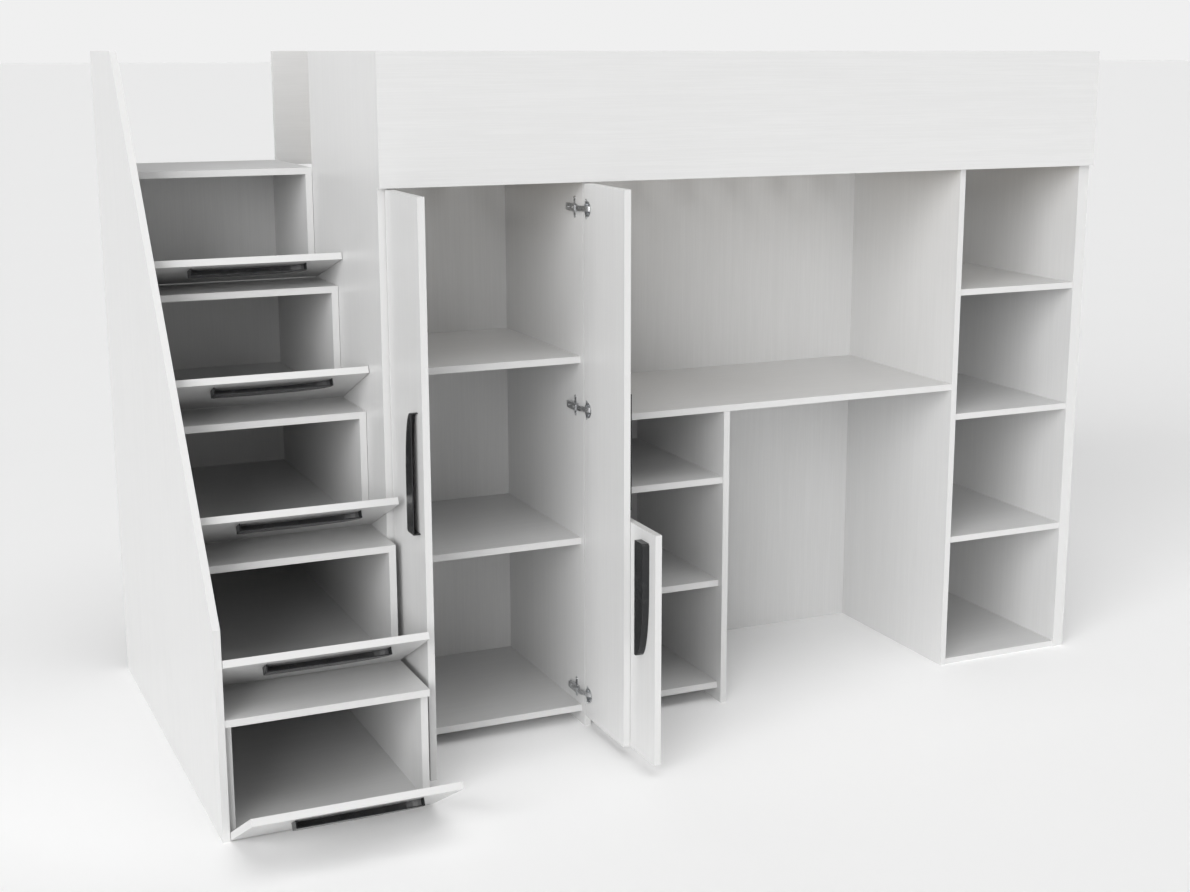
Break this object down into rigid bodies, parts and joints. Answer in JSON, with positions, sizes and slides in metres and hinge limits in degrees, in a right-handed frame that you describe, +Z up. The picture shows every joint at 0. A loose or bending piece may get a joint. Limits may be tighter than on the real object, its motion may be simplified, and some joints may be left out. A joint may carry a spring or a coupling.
{
  "type": "loft bed with desk",
  "caption": "Loft bed with a storage staircase, a wardrobe, a desk with a cupboard unit and an open bookcase built in under it.",
  "frame": {"origin": "middle of the footprint's bounding box, on the floor", "axes": "+X along the bed from the staircase to the bookcase end, +Y from the open cabinet fronts to the rear guard, +Z up"},
  "size_m": [2.411, 1.4184, 1.624],
  "materials": {
    "white_board": "melamine-faced chipboard with a fine linear grain",
    "white_hardboard": "white lacquered thin fibreboard",
    "pine": "planed bare pine",
    "anthracite_handle": "dark grey lacquered shell",
    "bright_steel": "nickel-plated pressed steel"
  },
  "bodies": {
    "carcass": {"stair_outer_panel": "white_board", "stair_left_wall": "white_board", "stair_right_wall": "white_board", "stair_floor": "white_board", "stair_back": "white_board", "tread_1": "white_board", "tread_2": "white_board", "tread_3": "white_board", "tread_4": "white_board", "tread_5": "white_board", "left_end_panel": "white_board", "right_end_panel": "white_board", "front_guard": "white_board", "rear_guard": "white_board", "wardrobe_side": "white_board", "wardrobe_divider": "white_board", "bookcase_divider": "white_board", "bookcase_side": "white_board", "wardrobe_shelf_upper": "white_board", "wardrobe_shelf_lower": "white_board", "wardrobe_bottom": "white_board", "desk_top": "white_board", "desk_unit_side": "white_board", "desk_unit_shelf_upper": "white_board", "desk_unit_shelf_lower": "white_board", "desk_unit_bottom": "white_board", "bookcase_shelf_1": "white_board", "bookcase_shelf_2": "white_board", "bookcase_shelf_3": "white_board", "bookcase_bottom": "white_board", "wardrobe_back": "white_hardboard", "desk_back": "white_board", "bookcase_back": "white_hardboard", "front_ledger": "pine", "rear_ledger": "pine", "slatted_base": "pine", "wardrobe_hinge_left_1": "bright_steel", "wardrobe_hinge_left_2": "bright_steel", "wardrobe_hinge_left_3": "bright_steel", "wardrobe_hinge_right_1": "bright_steel", "wardrobe_hinge_right_2": "bright_steel", "wardrobe_hinge_right_3": "bright_steel", "desk_unit_hinge_1": "bright_steel", "desk_unit_hinge_2": "bright_steel"},
    "wardrobe_door_left": {"wardrobe_door_left": "white_board", "wardrobe_handle_left": "anthracite_handle"},
    "wardrobe_door_right": {"wardrobe_door_right": "white_board", "wardrobe_handle_right": "anthracite_handle"},
    "desk_unit_door": {"desk_unit_door": "white_board", "desk_unit_handle": "anthracite_handle"},
    "flap_1": {"flap_1": "white_board", "flap_handle_1": "anthracite_handle"},
    "flap_2": {"flap_2": "white_board", "flap_handle_2": "anthracite_handle"},
    "flap_3": {"flap_3": "white_board", "flap_handle_3": "anthracite_handle"},
    "flap_4": {"flap_4": "white_board", "flap_handle_4": "anthracite_handle"},
    "flap_5": {"flap_5": "white_board", "flap_handle_5": "anthracite_handle"}
  },
  "joints": [
    {"name": "wardrobe_door_left_hinge", "type": "hinge", "parent": "carcass", "child": "wardrobe_door_left", "pos_m": [-0.7185, -0.2008, 0.678], "axis": [0, 0, -1], "range_deg": [-90, 0]},
    {"name": "wardrobe_door_right_hinge", "type": "hinge", "parent": "carcass", "child": "wardrobe_door_right", "pos_m": [-0.2435, -0.2008, 0.678], "axis": [0, 0, 1], "range_deg": [-90, 0]},
    {"name": "desk_unit_door_hinge", "type": "hinge", "parent": "carcass", "child": "desk_unit_door", "pos_m": [-0.235, -0.2093, 0.301], "axis": [0, 0, -1], "range_deg": [-90, 0]},
    {"name": "flap_1_hinge", "type": "hinge", "parent": "carcass", "child": "flap_1", "pos_m": [-0.9665, -0.4968, 0.002], "axis": [1, 0, 0], "range_deg": [-60.5, 15.5]},
    {"name": "flap_2_hinge", "type": "hinge", "parent": "carcass", "child": "flap_2", "pos_m": [-0.9665, -0.2933, 0.27075], "axis": [1, 0, 0], "range_deg": [-61.5, 14.5]},
    {"name": "flap_3_hinge", "type": "hinge", "parent": "carcass", "child": "flap_3", "pos_m": [-0.9665, -0.0898, 0.5395], "axis": [1, 0, 0], "range_deg": [-65.5, 10.5]},
    {"name": "flap_4_hinge", "type": "hinge", "parent": "carcass", "child": "flap_4", "pos_m": [-0.9665, 0.1137, 0.80825], "axis": [1, 0, 0], "range_deg": [-67, 9]},
    {"name": "flap_5_hinge", "type": "hinge", "parent": "carcass", "child": "flap_5", "pos_m": [-0.9665, 0.3172, 1.077], "axis": [1, 0, 0], "range_deg": [-74, 2]}
  ]
}
